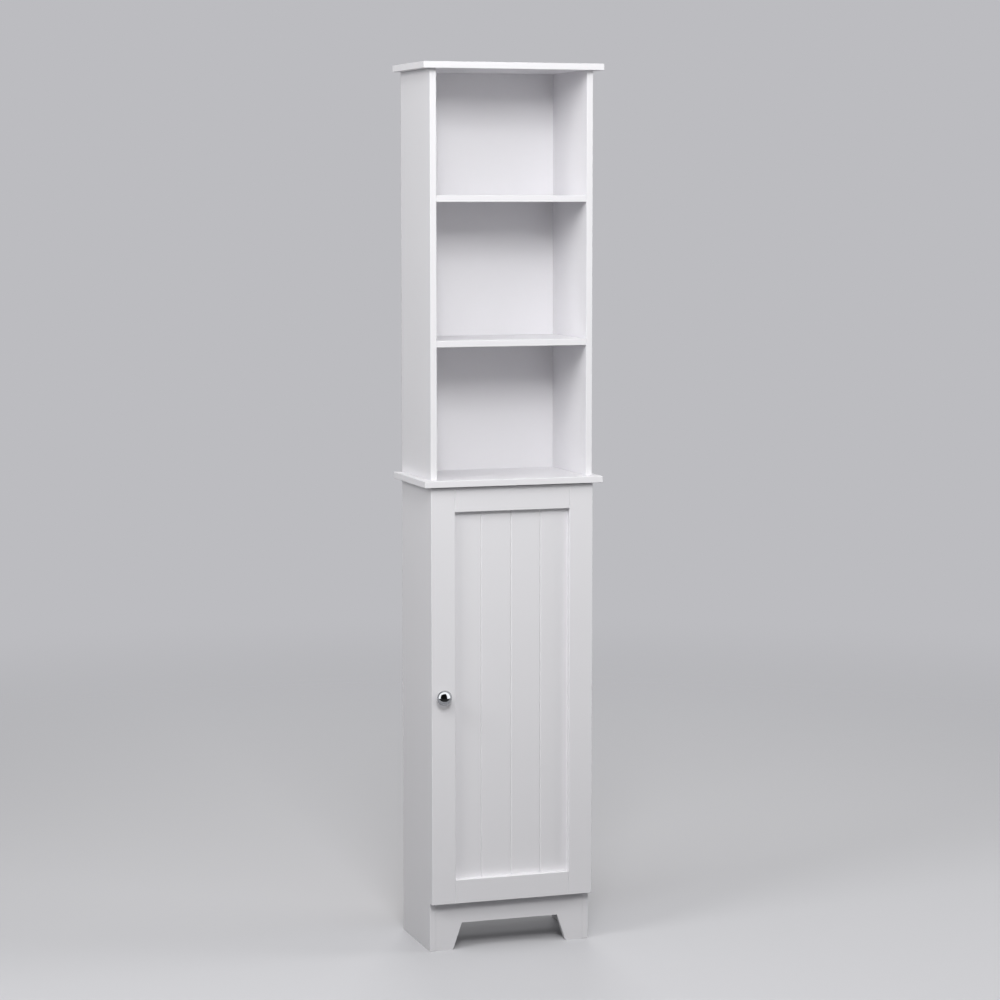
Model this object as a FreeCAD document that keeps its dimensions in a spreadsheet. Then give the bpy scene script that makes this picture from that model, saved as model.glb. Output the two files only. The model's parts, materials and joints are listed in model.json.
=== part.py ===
import FreeCAD, Part
import math
import os

import Sketcher
from FreeCAD import Rotation, Vector

# Tall bathroom cabinet: three open bays above a cupboard with one panelled door.
# Millimetres. +Z is up and the front faces -Y. The origin is on the floor, in the
# middle of the cabinet's width and of its overall depth.

# Driving dimensions. Each is one cell of the sheet.
SIZES = {
    # overall boards
    "height": 1651.0,
    "board_width": 347.0,
    "board_depth": 203.0,
    "stock": 12.0,
    "edge_ease": 0.6,
    "carcass_width": 315.0,
    "upper_setback": 16.0,
    "lower_setback": 29.0,
    "waist_height": 888.5,
    "high_shelf_height": 1410.0,
    "low_shelf_height": 1145.0,
    "deck_height": 102.0,
    "back_thickness": 3.0,
    "back_inset": 1.0,
    "back_joint_gap": 1.0,
    # foot
    "arch_height": 51.0,
    "arch_top_width": 189.4,
    "arch_foot_width": 224.6,
    "brace_leg": 49.0,
    "brace_nose": 20.0,
    "brace_height": 48.0,
    "brace_screw_offset": 16.0,
    "brace_screw_land": 8.0,
    "brace_screw_bite": 8.0,
    "brace_driver_clearance": 1.0,
    # adjustable shelf in the cupboard and its pins
    "inner_shelf_height": 486.0,
    "inner_shelf_clearance": 0.5,
    "inner_shelf_setback": 20.0,
    "pin_radius": 2.5,
    "pin_bite": 8.0,
    "pin_reach": 7.0,
    "pin_collar_radius": 4.0,
    "pin_collar": 1.5,
    "pin_inset": 32.0,
    "pin_step": 64.0,
    # board fixings
    "fit": 0.1,
    "dowel_radius": 3.0,
    "dowel_length": 25.0,
    "dowel_bite": 8.0,
    "dowel_offset": 25.0,
    "cam_inset": 40.0,
    "cam_reach": 24.0,
    "cam_radius": 7.5,
    "cam_depth": 9.5,
    "cam_bore": 3.4,
    "bolt_thread_radius": 2.5,
    "bolt_thread": 8.5,
    "bolt_collar": 3.0,
    "bolt_neck_radius": 2.0,
    "bolt_head_radius": 3.0,
    "bolt_head": 2.5,
    "screw_inset": 30.0,
    "screw_radius": 2.0,
    "screw_length": 34.0,
    "screw_head_radius": 4.0,
    "screw_head": 2.0,
    "cap_radius": 5.0,
    "cap_thickness": 2.0,
    # door
    "door_width": 316.0,
    "door_thickness": 16.0,
    "door_face": 11.6,
    "door_bottom": 92.0,
    "door_top_gap": 2.0,
    "door_ease": 0.8,
    "stile_width": 46.0,
    "rail_width": 45.5,
    "panel_recess": 11.0,
    "panel_thickness": 4.0,
    "panel_lap": 7.0,
    "panel_play": 0.5,
    "groove_pitch": 58.0,
    "groove_width": 3.2,
    "groove_depth": 1.3,
    "frame_dowel_radius": 4.0,
    "frame_dowel_length": 30.0,
    "frame_dowel_inset": 12.0,
    "frame_dowel_pitch": 15.0,
    # knob
    "knob_inset": 20.0,
    "knob_height": 486.0,
    "knob_radius": 14.25,
    "knob_reach": 25.0,
    "knob_rim": 15.8,
    "knob_lip": 1.8,
    "knob_lip_inset": 1.3,
    "knob_lip_radius": 1.6,
    "knob_neck_radius": 6.0,
    "knob_neck": 3.0,
    "knob_base_radius": 8.5,
    "knob_base": 2.0,
    "knob_foot_radius": 4.5,
    "knob_flare_radius": 9.0,
    "knob_screw_radius": 2.0,
    "knob_screw_bite": 12.0,
    "knob_screw_head_radius": 4.0,
    "knob_screw_head": 2.2,
    # magnetic catch and bumpers
    "catch_drop": 114.5,
    "catch_length": 46.0,
    "catch_width": 14.0,
    "catch_stand": 13.0,
    "catch_flange": 2.5,
    "catch_block": 26.0,
    "catch_screw_pitch": 36.0,
    "catch_gap": 0.3,
    "magnet_width": 7.0,
    "magnet_length": 18.0,
    "magnet_depth": 8.0,
    "magnet_proud": 1.5,
    "strike_width": 12.0,
    "strike_length": 36.0,
    "strike_thickness": 1.0,
    "strike_screw_pitch": 27.0,
    # small pan-head screws
    "small_screw_radius": 1.6,
    "small_screw_head_radius": 3.0,
    "small_screw_head": 1.2,
    "small_screw_bite": 9.0,
    # concealed hinges, drawn in plan
    "hinge_inset": 90.0,
    "cup_inset": 20.5,
    "cup_radius": 17.5,
    "cup_depth": 11.5,
    "cup_wall": 1.3,
    "cup_floor": 1.0,
    "cup_rim_radius": 19.0,
    "cup_flange": 1.2,
    "cup_ear_width": 15.0,
    "cup_ear_length": 60.0,
    "cup_screw_pitch": 48.0,
    "cup_notch_width": 16.4,
    "cup_notch_reach": 8.0,
    "cup_notch_depth": 2.0,
    "cup_heel_width": 9.6,
    "cup_heel_depth": 0.6,
    "outer_arm_inset": 29.5,
    "outer_arm_back": 9.486,
    "outer_cup_inset": 10.77,
    "outer_cup_depth": 1.4,
    "outer_bow": 6.553,
    "inner_arm_inset": 23.233,
    "inner_arm_back": 6.364,
    "inner_cup_inset": 10.378,
    "inner_cup_depth": 7.387,
    "inner_bow": 7.0,
    "link_half_width": 1.7,
    "eye_radius": 2.4,
    "pivot_radius": 1.2,
    "pivot_fit": 0.1,
    "slot_play": 0.4,
    "slot_out": 3.3,
    "slot_in": 0.3,
    "slot_wall": 1.1,
    "inner_link_width": 7.2,
    "outer_link_gap": 9.2,
    "outer_link_plate": 1.5,
    "stub_gap": 8.8,
    "arm_sheet": 1.2,
    "arm_inside": 13.2,
    "arm_nose": 34.0,
    "arm_nose_front": 5.5,
    "arm_nose_back": 14.5,
    "arm_toe": 19.5,
    "arm_toe_front": 2.5,
    "arm_toe_back": 8.0,
    "arm_web": 9.0,
    "arm_web_start": 31.0,
    "arm_lift": 2.4,
    "arm_lift_start": 20.0,
    "arm_rear": 64.0,
    "plate_ridge": 12.8,
    "plate_ridge_height": 7.6,
    "plate_ridge_start": 27.0,
    "plate_ridge_end": 62.0,
    "plate_wing": 2.0,
    "plate_wing_width": 12.0,
    "plate_wing_length": 46.0,
    "plate_line": 37.0,
    "plate_screw_pitch": 32.0,
    "arm_screw_back": 55.0,
    "arm_adjuster_back": 36.0,
    "arm_screw_bite": 5.0,
    "bumper_radius": 4.0,
    "bumper_gap": 0.1,
    "bumper_inset": 14.0,
    # tip restraint plate at the rear of the top board
    "restraint_width": 46.0,
    "restraint_plate": 1.5,
    "restraint_foot": 12.0,
    "restraint_jog": 4.0,
    "restraint_tab": 16.0,
    "restraint_screw_pitch": 30.0,
    "restraint_eye": 4.0,
    # how far a cutting tool runs past the face that it cuts
    "overcut": 1.0,
}


class Size:
    """A length with the expression that keeps it bound to the sheet."""

    def __init__(self, value, text):
        self.value = float(value)
        self.text = text

    @staticmethod
    def of(other):
        return other if isinstance(other, Size) else Size(other, f"({other!r})")

    def join(self, other, sign, value):
        other = Size.of(other)
        return Size(value(self.value, other.value), f"({self.text} {sign} {other.text})")

    def __add__(self, other):
        return self.join(other, "+", lambda a, b: a + b)

    def __sub__(self, other):
        return self.join(other, "-", lambda a, b: a - b)

    def __mul__(self, other):
        return self.join(other, "*", lambda a, b: a * b)

    def __truediv__(self, other):
        return self.join(other, "/", lambda a, b: a / b)

    def __neg__(self):
        return Size(-self.value, f"(0 - {self.text})")

    def root(self):
        return Size(math.sqrt(self.value), f"sqrt({self.text})")


doc = FreeCAD.newDocument("TallCabinet")
sheet = doc.addObject("Spreadsheet::Sheet", "Sizes")
for row, (alias, number) in enumerate(SIZES.items(), start=1):
    sheet.set(f"A{row}", alias)
    sheet.set(f"B{row}", str(number))
    sheet.setAlias(f"B{row}", alias)
doc.recompute()

NODES = {}
ZERO = Size(0.0, "0")
LEFT, RIGHT = Vector(-1, 0, 0), Vector(1, 0, 0)
FRONT, REAR = Vector(0, -1, 0), Vector(0, 1, 0)
DOWN, UP = Vector(0, 0, -1), Vector(0, 0, 1)


def size(alias):
    """The named driving dimension."""
    return Size(SIZES[alias], f"Sizes.{alias}")


# Helpers -------------------------------------------------------------------


def bind(thing, **sizes):
    for prop, length in sizes.items():
        thing.setExpression(prop, Size.of(length).text)


def place(thing, corner, turn=None):
    """Put a thing's own origin at a corner given as three sizes."""
    if turn is not None:
        thing.Placement.Rotation = turn
    for axis, length in zip("xyz", corner):
        thing.setExpression(f"Placement.Base.{axis}", Size.of(length).text)


def keep(thing, label):
    """Make a thing one of the cabinet's pieces."""
    thing.Label = label
    NODES[label] = thing
    return thing


def new_body(label):
    body = doc.addObject("PartDesign::Body", label)
    body.Label = label
    return body


def origin_plane(body, role):
    return next(f for f in body.Origin.OriginFeatures if f.Role == role)


def board(label, corner, length, width, thick, easing="edge_ease"):
    """A rectangular board with every edge slightly eased."""
    body = new_body(label)
    block = body.newObject("PartDesign::AdditiveBox", f"{label}_block")
    bind(block, Length=length, Width=width, Height=thick)
    doc.recompute()
    ease = body.newObject("PartDesign::Chamfer", f"{label}_ease")
    ease.Base = (block, ["Edge1"])
    ease.UseAllEdges = True
    bind(ease, Size=size(easing))
    body.Tip = ease
    place(body, corner)
    return body


def outline(owner, name, corners, arcs=None, role="XY_Plane"):
    """A closed sketch through corners given as pairs of sizes.

    arcs maps the number of a corner to (radius, turn): the edge that leaves it is an
    arc, and turn is +1 where it bends anticlockwise and -1 where it bends clockwise.
    """
    arcs = arcs or {}
    if owner is None:
        sketch = doc.addObject("Sketcher::SketchObject", name)
    else:
        sketch = owner.newObject("Sketcher::SketchObject", name)
        sketch.AttachmentSupport = (origin_plane(owner, role), "")
        sketch.MapMode = "FlatFace"
    points = [Vector(Size.of(x).value, Size.of(y).value, 0) for x, y in corners]
    count = len(points)
    heads, tails = [], []
    for i, start in enumerate(points):
        end = points[(i + 1) % count]
        if i in arcs:
            radius, turn = arcs[i]
            chord = end - start
            rise = math.sqrt(max(radius.value**2 - (chord.Length / 2) ** 2, 0.0))
            side = Vector(-chord.y, chord.x, 0).normalize() * turn
            centre = (start + end) * 0.5 + side * rise
            first, last = (start, end) if turn > 0 else (end, start)
            angles = [math.atan2(p.y - centre.y, p.x - centre.x) for p in (first, last)]
            if angles[1] <= angles[0]:
                angles[1] += 2 * math.pi
            circle = Part.Circle(centre, UP, radius.value)
            sketch.addGeometry(Part.ArcOfCircle(circle, *angles), False)
            heads.append(1 if turn > 0 else 2)
            tails.append(2 if turn > 0 else 1)
        else:
            sketch.addGeometry(Part.LineSegment(start, end), False)
            heads.append(1)
            tails.append(2)
    for i in range(count):
        after = (i + 1) % count
        sketch.addConstraint(Sketcher.Constraint("Coincident", i, tails[i], after, heads[after]))
    for i, (x, y) in enumerate(corners):
        for kind, length in (("DistanceX", Size.of(x)), ("DistanceY", Size.of(y))):
            rule = Sketcher.Constraint(kind, -1, 1, i, heads[i], length.value)
            number = sketch.addConstraint(rule)
            sketch.setExpression(f"Constraints[{number}]", length.text)
    for i, (radius, _) in arcs.items():
        number = sketch.addConstraint(Sketcher.Constraint("Radius", i, radius.value))
        sketch.setExpression(f"Constraints[{number}]", radius.text)
    return sketch


def padded(label, corners, length, arcs=None, role="XY_Plane", reverse=False):
    """A body made by drawing an outline out along its plane's normal."""
    body = new_body(label)
    pad = body.newObject("PartDesign::Pad", f"{label}_pad")
    pad.Profile = outline(body, f"{label}_outline", corners, arcs, role)
    pad.Reversed = reverse
    bind(pad, Length=length)
    body.Tip = pad
    return body


def turned_body(label, corners, arcs=None):
    """A body turned about the sketch's Y axis."""
    body = new_body(label)
    section = outline(body, f"{label}_section", corners, arcs)
    turn = body.newObject("PartDesign::Revolution", f"{label}_turned")
    turn.Profile = section
    turn.ReferenceAxis = (section, ["V_Axis"])
    turn.Angle = 360
    body.Tip = turn
    return body


def turned_copy(name, section, corner, direction):
    """One fastener: a shared half section turned about its Y axis, laid along a direction."""
    copy = doc.addObject("Part::Revolution", name)
    copy.Source = section
    copy.Axis = Vector(0, 1, 0)
    copy.Angle = 360
    copy.Solid = True
    place(copy, corner, Rotation(Vector(0, 1, 0), direction))
    return copy


def rod(name, corner, direction, radius, length):
    """A round bar, or the drill for a hole, from a corner along a direction."""
    bar = doc.addObject("Part::Cylinder", name)
    bind(bar, Radius=radius, Height=length)
    place(bar, corner, Rotation(UP, direction))
    return bar


def cone(name, corner, direction, start_radius, end_radius, length):
    bar = doc.addObject("Part::Cone", name)
    bind(bar, Radius1=start_radius, Radius2=end_radius, Height=length)
    place(bar, corner, Rotation(UP, direction))
    return bar


def box(name, corner, length, width, height):
    block = doc.addObject("Part::Box", name)
    bind(block, Length=length, Width=width, Height=height)
    place(block, corner)
    return block


def group(label, members):
    """Equal pieces that share one node."""
    many = doc.addObject("Part::Compound", label)
    many.Links = members
    return keep(many, label)


def bored(name, blank, tools):
    """A blank with every tool's volume taken out of it."""
    bits = doc.addObject("Part::Compound", f"{name}_bits")
    bits.Links = tools
    result = doc.addObject("Part::Cut", f"{name}_cut")
    result.Base = blank
    result.Tool = bits
    return result


def cut(label, blank, tools):
    """A piece of the cabinet made by boring a blank."""
    blank.Label = f"{label}_blank"
    return keep(bored(label, blank, tools), label)


def joined(name, members):
    fused = doc.addObject("Part::MultiFuse", name)
    fused.Shapes = members
    return fused


# Reference planes ----------------------------------------------------------

stock = size("stock")
fit = size("fit")
overcut = size("overcut")
half_carcass = size("carcass_width") / 2
inner_face = half_carcass - stock
bay_width = inner_face * 2
side_middle = half_carcass - stock / 2

rear_reach = size("back_thickness") + size("restraint_plate") + size("restraint_jog")
front_reach = size("knob_reach") - size("door_face")
board_front = (front_reach - size("board_depth") - rear_reach) / 2
board_rear = board_front + size("board_depth")
upper_front = board_front + size("upper_setback")
lower_front = board_front + size("lower_setback")
upper_depth = board_rear - upper_front
lower_depth = board_rear - lower_front

top_underside = size("height") - stock
waist_top = size("waist_height")
waist_underside = waist_top - stock
deck_top = size("deck_height")
deck_underside = deck_top - stock

door_front = board_front + size("door_face")
door_back = door_front + size("door_thickness")
door_edge = size("door_width") / 2
door_bottom = size("door_bottom")
door_top = waist_underside - size("door_top_gap")
door_height = door_top - door_bottom

HOLES = {name: [] for name in (
    "top_board", "waist_board", "upper_side_left", "upper_side_right", "high_shelf", "low_shelf",
    "lower_side_left", "lower_side_right", "deck_panel", "apron", "corner_brace_left",
    "corner_brace_right", "upper_back_panel", "door_stile_left", "door_stile_right",
    "door_rail_top", "door_rail_bottom", "knob",
)}
SIDES = (("left", -1, LEFT, RIGHT), ("right", 1, RIGHT, LEFT))


# Fasteners that hold the boards together -------------------------------------

def bolt_section():
    """Half section of a cam bolt: thread below the joint, neck and head above it."""
    thread_radius, head_radius = size("bolt_thread_radius"), size("bolt_head_radius")
    neck = size("bolt_neck_radius")
    head_start = size("cam_reach") - size("bolt_head") / 2
    head_end = head_start + size("bolt_head")
    return outline(None, "cam_bolt_section", [
        (ZERO, -size("bolt_thread")), (thread_radius, -size("bolt_thread")), (thread_radius, ZERO),
        (head_radius, ZERO), (head_radius, size("bolt_collar")), (neck, size("bolt_collar")),
        (neck, head_start), (head_radius, head_start), (head_radius, head_end), (ZERO, head_end)])


def screw_section(name, radius, length, head_radius, head):
    """Half section of a flat-head screw, its head's top at the origin, its point along +Y."""
    point = radius
    return outline(None, name, [
        (ZERO, ZERO), (head_radius, ZERO), (radius, head), (radius, length - point),
        (ZERO, length)])


cam_bolts, cam_discs, dowels, board_screws, screw_caps = [], [], [], [], []
bolt = bolt_section()
board_screw = screw_section(
    "board_screw_section", size("screw_radius"), size("screw_length"),
    size("screw_head_radius"), size("screw_head"))


def cam_joint(tag, carried, carrier, joint, along, disc_side):
    """A cam bolt screwed into the carrier and locked by a disc let into the carried board.

    joint is the point where the two boards meet, along points into the carried board,
    and disc_side points from the board's middle to the face that shows the disc.
    """
    reach, cam_radius, depth = size("cam_reach"), size("cam_radius"), size("cam_depth")
    bolt_radius = size("bolt_thread_radius")
    back = along * -1
    cam_bolts.append(turned_copy(f"cam_bolt_{tag}", bolt, joint, along))
    HOLES[carrier].append(rod(f"bolt_hole_{tag}", joint, back, bolt_radius + fit,
                              size("bolt_thread") + fit))
    HOLES[carried].append(rod(f"bolt_bore_{tag}", joint, along, size("bolt_head_radius") + fit,
                              reach))
    centre = [c + reach * a if a else c for c, a in zip(joint, along)]
    mouth = [c + stock / 2 * a if a else c for c, a in zip(centre, disc_side)]
    inward = disc_side * -1
    HOLES[carried].append(rod(f"cam_hole_{tag}", mouth, inward, cam_radius + fit, depth + fit))
    disc = rod(f"cam_blank_{tag}", mouth, inward, cam_radius, depth)
    slot_start = [c - (cam_radius + overcut) * a if a else c for c, a in zip(centre, along)]
    slot = rod(f"cam_slot_{tag}", slot_start, along, size("cam_bore"),
               cam_radius + size("bolt_head") + overcut)
    cam_discs.append(bored(f"cam_disc_{tag}", disc, [slot]))


def dowel_joint(tag, first, second, joint, along):
    """A wooden dowel, its short end in the first board and the rest in the second."""
    radius, bite = size("dowel_radius"), size("dowel_bite")
    rest = size("dowel_length") - bite
    start = [c - bite * a if a else c for c, a in zip(joint, along)]
    dowels.append(rod(f"dowel_{tag}", start, along, radius, size("dowel_length")))
    HOLES[first].append(rod(f"dowel_hole_a_{tag}", joint, along * -1, radius + fit, bite + fit))
    HOLES[second].append(rod(f"dowel_hole_b_{tag}", joint, along, radius + fit, rest + fit))


def screw_joint(tag, first, second, face, joint, along, sunk):
    """A flat-head screw through the first board into the end of the second."""
    radius, head_radius, head = size("screw_radius"), size("screw_head_radius"), size("screw_head")
    start = [c + sunk * a if a else c for c, a in zip(face, along)]
    board_screws.append(turned_copy(f"board_screw_{tag}", board_screw, start, along))
    HOLES[first].append(rod(f"screw_hole_{tag}", face, along, radius + fit, stock))
    HOLES[first].append(cone(f"screw_sink_{tag}", start, along, head_radius + fit, radius + fit,
                             head))
    HOLES[second].append(rod(f"screw_pilot_{tag}", joint, along, radius + fit,
                             size("screw_length") - stock + sunk + fit))


screw_inset, cam_inset = size("screw_inset"), size("cam_inset")
upper_middle = (upper_front + board_rear) / 2
lower_middle = (lower_front + board_rear) / 2
cap_thickness, cap_radius = size("cap_thickness"), size("cap_radius")

for side, sign, outward, inward in SIDES:
    x_side = side_middle * sign
    x_inner = inner_face * sign
    upper, lower = f"upper_side_{side}", f"lower_side_{side}"

    # top board: capped screws from above. Waist board: screws from below.
    for spot, y in (("front", upper_front + screw_inset), ("rear", board_rear - screw_inset)):
        crown = [x_side, y, size("height")]
        screw_joint(f"top_{side}_{spot}", "top_board", upper, crown, [x_side, y, top_underside],
                    DOWN, cap_thickness)
        HOLES["top_board"].append(rod(f"cap_hole_{side}_{spot}", crown, DOWN, cap_radius + fit,
                                      cap_thickness))
        screw_caps.append(rod(f"screw_cap_{side}_{spot}", crown, DOWN, cap_radius,
                              cap_thickness - fit))
        screw_joint(f"waist_{side}_{spot}", "waist_board", upper, [x_side, y, waist_underside],
                    [x_side, y, waist_top], UP, ZERO)
    y_upper = upper_middle - size("dowel_offset")
    y_lower = lower_middle + size("dowel_offset")
    dowel_joint(f"top_{side}", "top_board", upper, [x_side, y_upper, top_underside], DOWN)
    dowel_joint(f"waist_{side}", "waist_board", upper, [x_side, y_upper, waist_top], UP)
    dowel_joint(f"lower_{side}", "waist_board", lower, [x_side, y_lower, waist_underside], DOWN)

    # fixed shelves, deck and the lower sides' heads: cams
    for spot, y in (("front", upper_front + cam_inset), ("rear", board_rear - cam_inset)):
        for shelf in ("high_shelf", "low_shelf"):
            z = size(f"{shelf}_height") - stock / 2
            cam_joint(f"{shelf}_{side}_{spot}", shelf, upper, [x_inner, y, z], inward, DOWN)
    for spot, y in (("front", lower_front + cam_inset), ("rear", board_rear - cam_inset)):
        cam_joint(f"deck_{side}_{spot}", "deck_panel", lower, [x_inner, y, deck_top - stock / 2],
                  inward, DOWN)
        cam_joint(f"head_{side}_{spot}", lower, "waist_board", [x_side, y, waist_underside],
                  DOWN, inward)

group("cam_bolts", cam_bolts)
group("cam_discs", cam_discs)
group("dowels", dowels)
group("board_screws", board_screws)
group("screw_caps", screw_caps)


# Shelf pins and the adjustable shelf -----------------------------------------

inner_shelf_top = size("inner_shelf_height")
inner_shelf_under = inner_shelf_top - stock
pin_radius, pin_bite = size("pin_radius"), size("pin_bite")
pin_height = inner_shelf_under - pin_radius
pin_section = outline(None, "shelf_pin_section", [
    (ZERO, -pin_bite), (pin_radius, -pin_bite), (pin_radius, ZERO),
    (size("pin_collar_radius"), ZERO), (size("pin_collar_radius"), size("pin_collar")),
    (pin_radius, size("pin_collar")), (pin_radius, size("pin_reach")), (ZERO, size("pin_reach"))])
shelf_pins = []
for side, sign, outward, inward in SIDES:
    for spot, y in (("front", lower_front + size("inner_shelf_setback") + size("pin_inset")),
                    ("rear", board_rear - size("pin_inset"))):
        shelf_pins.append(turned_copy(f"shelf_pin_{side}_{spot}", pin_section,
                                      [inner_face * sign, y, pin_height], inward))
        for level in (-1, 0, 1):
            HOLES[f"lower_side_{side}"].append(
                rod(f"pin_hole_{side}_{spot}_{level + 1}",
                    [inner_face * sign, y, pin_height + size("pin_step") * level], outward,
                    pin_radius + fit, pin_bite + fit))
group("shelf_pins", shelf_pins)

shelf_gap = size("inner_shelf_clearance")
shelf_end_gap = size("pin_collar") + shelf_gap
shelf_front = lower_front + size("inner_shelf_setback")
keep(board("inner_shelf", [shelf_end_gap - inner_face, shelf_front, inner_shelf_under],
           bay_width - shelf_end_gap * 2, board_rear - shelf_front - shelf_gap, stock),
     "inner_shelf")


# Apron, corner braces and their screws ---------------------------------------

arch_top, arch_foot = size("arch_top_width") / 2, size("arch_foot_width") / 2
apron = padded("apron", [
    (-inner_face, ZERO), (-arch_foot, ZERO), (-arch_top, size("arch_height")),
    (arch_top, size("arch_height")), (arch_foot, ZERO), (inner_face, ZERO),
    (inner_face, deck_underside), (-inner_face, deck_underside)], stock, role="XZ_Plane")
apron_back = lower_front + stock
place(apron, [ZERO, apron_back, ZERO])


def pan_screw_section(name, radius, length, head_radius, head):
    """Half section of a pan-head screw, the underside of its head at the origin."""
    return outline(None, name, [
        (ZERO, -head), (head_radius - head / 2, -head), (head_radius, ZERO), (radius, ZERO),
        (radius, length - radius), (ZERO, length)])


small_radius = size("small_screw_radius")
small_head_radius, small_head = size("small_screw_head_radius"), size("small_screw_head")
small_bite = size("small_screw_bite")
driver_clearance = size("brace_driver_clearance")


def small_screw_section(name, length):
    return pan_screw_section(name, small_radius, length, small_head_radius, small_head)


leg, nose, brace_height = size("brace_leg"), size("brace_nose"), size("brace_height")
brace_base = deck_underside - brace_height
land, brace_bite = size("brace_screw_land"), size("brace_screw_bite")
brace_offset = size("brace_screw_offset")
brace_section = small_screw_section("brace_screw_section", land + brace_bite)
brace_screws = []
for side, sign, outward, inward in SIDES:
    reach = -sign
    brace = padded(f"corner_brace_{side}_body", [
        (ZERO, ZERO), (leg * reach, ZERO), (leg * reach, nose), (nose * reach, leg),
        (ZERO, leg)], brace_height)
    x_inner = inner_face * sign
    place(brace, [x_inner, apron_back, brace_base])
    x_land, y_land = x_inner + land * reach, apron_back + land
    spots = (
        ("side", f"lower_side_{side}", outward, brace_base + brace_height / 3,
         [x_land, apron_back + brace_offset], [x_inner, apron_back + brace_offset]),
        ("apron", "apron", FRONT, brace_base + brace_height * 2 / 3,
         [x_inner + brace_offset * reach, y_land], [x_inner + brace_offset * reach, apron_back]),
    )
    for spot, target, along, z, seat, entry in spots:
        tag = f"{side}_{spot}"
        brace_screws.append(turned_copy(f"brace_screw_{tag}", brace_section, [*seat, z], along))
        tools = HOLES[f"corner_brace_{side}"]
        tools.append(rod(f"brace_hole_{tag}", [*seat, z], along, small_radius + fit, land))
        tools.append(rod(f"brace_bore_{tag}", [*seat, z], along * -1,
                         small_head_radius + driver_clearance, leg))
        HOLES[target].append(rod(f"brace_pilot_{tag}", [*entry, z], along, small_radius + fit,
                                 brace_bite + fit))
    cut(f"corner_brace_{side}", brace, HOLES[f"corner_brace_{side}"])
group("brace_screws", brace_screws)
cut("apron", apron, HOLES["apron"])


# Back panels and the tip-restraint plate -------------------------------------

back_inset, back_thickness = size("back_inset"), size("back_thickness")
back_width = size("carcass_width") - back_inset * 2
back_split = waist_top - stock / 2
half_joint = size("back_joint_gap") / 2
panel_rear = board_rear + back_thickness

plate, jog = size("restraint_plate"), size("restraint_jog")
foot, tab = size("restraint_foot"), size("restraint_tab")
crest = size("height") - back_inset
restraint = padded("tip_restraint_body", [
    (ZERO, ZERO), (ZERO, -foot), (jog, -foot - jog), (jog, -foot - jog - tab),
    (jog + plate, -foot - jog - tab), (jog + plate, plate / 2 - foot - jog),
    (plate, plate / 2 - foot), (plate, ZERO)], size("restraint_width"), role="YZ_Plane")
place(restraint, [-size("restraint_width") / 2, panel_rear, crest])
restraint_tools, restraint_screws = [], []
restraint_section = small_screw_section("restraint_screw_section",
                                        plate + back_thickness + small_bite)
for name, sign in (("left", -1), ("right", 1)):
    x = size("restraint_screw_pitch") / 2 * sign
    z = size("height") - stock / 2
    restraint_screws.append(turned_copy(f"restraint_screw_{name}", restraint_section,
                                        [x, panel_rear + plate, z], FRONT))
    restraint_tools.append(rod(f"restraint_hole_{name}", [x, panel_rear + plate, z], FRONT,
                               small_radius + fit, plate))
    HOLES["upper_back_panel"].append(rod(f"restraint_pass_{name}", [x, panel_rear, z], FRONT,
                                         small_radius + fit, back_thickness))
    HOLES["top_board"].append(rod(f"restraint_pilot_{name}", [x, board_rear, z], FRONT,
                                  small_radius + fit, small_bite + fit))
restraint_tools.append(rod("restraint_eye_hole",
                           [ZERO, panel_rear, crest - foot - jog - tab / 2], REAR,
                           size("restraint_eye"), jog + plate))
cut("tip_restraint_plate", restraint, restraint_tools)
group("restraint_screws", restraint_screws)

upper_back = box("upper_back_blank", [-back_width / 2, board_rear, back_split + half_joint],
                 back_width, back_thickness, crest - back_split - half_joint)
cut("upper_back_panel", upper_back, HOLES["upper_back_panel"])
lower_back_base = deck_underside + back_inset
keep(box("lower_back_panel", [-back_width / 2, board_rear, lower_back_base], back_width,
         back_thickness, back_split - half_joint - lower_back_base), "lower_back_panel")


# Door frame and panel --------------------------------------------------------

stile, rail = size("stile_width"), size("rail_width")
thickness, lap = size("door_thickness"), size("panel_lap")
opening_half = door_edge - stile
opening_low, opening_high = door_bottom + rail, door_top - rail
panel_front = door_front + size("panel_recess")
pocket = box("panel_pocket", [-opening_half - lap, panel_front, opening_low - lap],
             (opening_half + lap) * 2, thickness, opening_high - opening_low + lap * 2)

members = {
    "door_stile_left": ([-door_edge, door_front, door_bottom], stile, door_height),
    "door_stile_right": ([opening_half, door_front, door_bottom], stile, door_height),
    "door_rail_bottom": ([-opening_half, door_front, door_bottom], opening_half * 2, rail),
    "door_rail_top": ([-opening_half, door_front, opening_high], opening_half * 2, rail),
}
for member in members:
    HOLES[member].append(pocket)

play = size("panel_play")
panel_half = opening_half + lap - play
groove_half, groove_depth = size("groove_width") / 2, size("groove_depth")
panel_outline = [(-panel_half, ZERO)]
for step in (-1, 0, 1):
    middle = size("groove_pitch") * step
    panel_outline += [(middle - groove_half, ZERO), (middle, groove_depth),
                      (middle + groove_half, ZERO)]
panel_outline += [(panel_half, ZERO), (panel_half, size("panel_thickness")),
                  (-panel_half, size("panel_thickness"))]
panel = padded("door_panel", panel_outline, opening_high - opening_low + (lap - play) * 2)
place(panel, [ZERO, panel_front, opening_low - lap + play])
keep(panel, "door_panel")

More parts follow.
